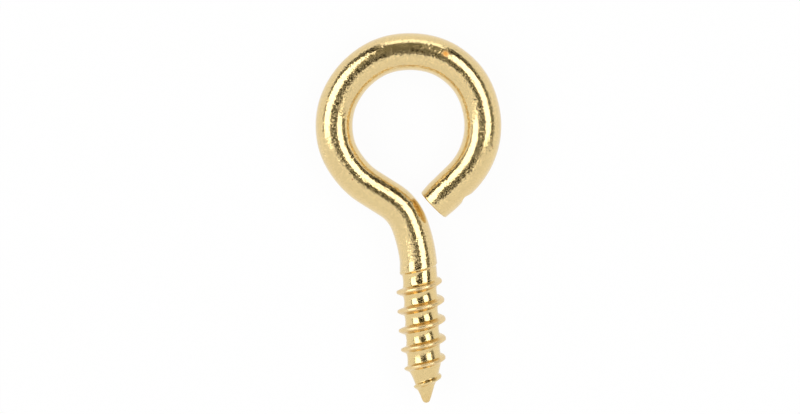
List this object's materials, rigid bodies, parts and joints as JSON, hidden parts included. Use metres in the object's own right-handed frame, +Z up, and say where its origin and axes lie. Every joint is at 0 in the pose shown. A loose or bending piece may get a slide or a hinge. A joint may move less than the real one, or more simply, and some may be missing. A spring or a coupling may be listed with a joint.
{
  "type": "screw eye",
  "caption": "Wire screw eye: a closed-bend round eye on a short shank with a rolled wood-screw thread and cone point, for hanging or guiding wire, cord and hooks.",
  "frame": {"origin": "centre of the part's footprint, on the floor it lies on", "axes": "+Z up, along the axis of the eye; +Y along the shank from the point to the eye; +X to the side of the eye's free end"},
  "size_m": [0.02, 0.04, 0.0051],
  "materials": {
    "brass_plated_wire": "bright electro-brassed steel wire, fine drawn grain under the plating"
  },
  "bodies": {
    "root": {"screw_eye": "brass_plated_wire"}
  },
  "joints": []
}
